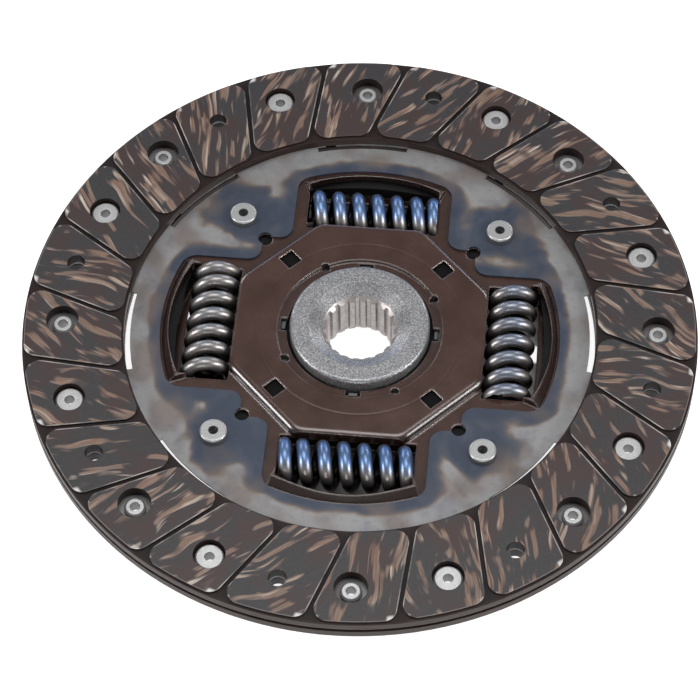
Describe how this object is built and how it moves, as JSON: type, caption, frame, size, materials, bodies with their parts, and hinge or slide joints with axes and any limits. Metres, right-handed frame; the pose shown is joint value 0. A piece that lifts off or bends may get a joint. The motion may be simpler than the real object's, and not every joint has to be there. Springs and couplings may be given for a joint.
{
  "type": "clutch disc",
  "caption": "Round clutch disc with riveted friction facings, a waved cushion plate, coil springs that damp twist and a splined hub.",
  "frame": {"origin": "on the shaft axis, in the middle plane of the cushion plate, halfway between the two friction faces", "axes": "+Z along the shaft axis to the side with the short raised hub collar; the damper springs stand on +X, +Y, -X and -Y"},
  "size_m": [0.2, 0.2, 0.0185],
  "materials": {
    "friction_lining": "matte moulded friction material with short brass and tan yarn streaks",
    "rivet_steel": "satin",
    "tempered_steel": "heat-tinted blue and straw, satin",
    "brown_plate": "dark reddish-brown oxide, satin",
    "hub_steel": "fine blasted, bright",
    "spring_steel": "oiled, glossy",
    "plain_steel": "satin",
    "black_plastic": "matte"
  },
  "bodies": {
    "disc": {"front_facing": "friction_lining", "rear_facing": "friction_lining", "front_facing_rivets": "rivet_steel", "rear_facing_rivets": "rivet_steel", "cushion_plate": "tempered_steel", "front_damper_plate": "brown_plate", "rear_damper_plate": "brown_plate", "front_friction_ring": "black_plastic", "inner_friction_washer": "black_plastic", "thrust_ring": "plain_steel", "disc_spring": "plain_steel", "rear_friction_washer": "black_plastic", "rear_bush": "black_plastic", "stop_pin_1": "plain_steel", "damper_spring_1": "spring_steel", "stop_pin_2": "plain_steel", "damper_spring_2": "spring_steel", "stop_pin_3": "plain_steel", "damper_spring_3": "spring_steel", "stop_pin_4": "plain_steel", "damper_spring_4": "spring_steel"},
    "hub": {"hub": "hub_steel", "hub_flange": "brown_plate"}
  },
  "joints": [
    {"name": "hub_twist", "type": "hinge", "parent": "disc", "child": "hub", "pos_m": [0, 0, 0], "axis": [0, 0, 1], "range_deg": [-8.5, 8.5], "stiffness_Nm_per_rad": 1200, "deforming": ["damper_spring_1", "damper_spring_2", "damper_spring_3", "damper_spring_4"]}
  ]
}
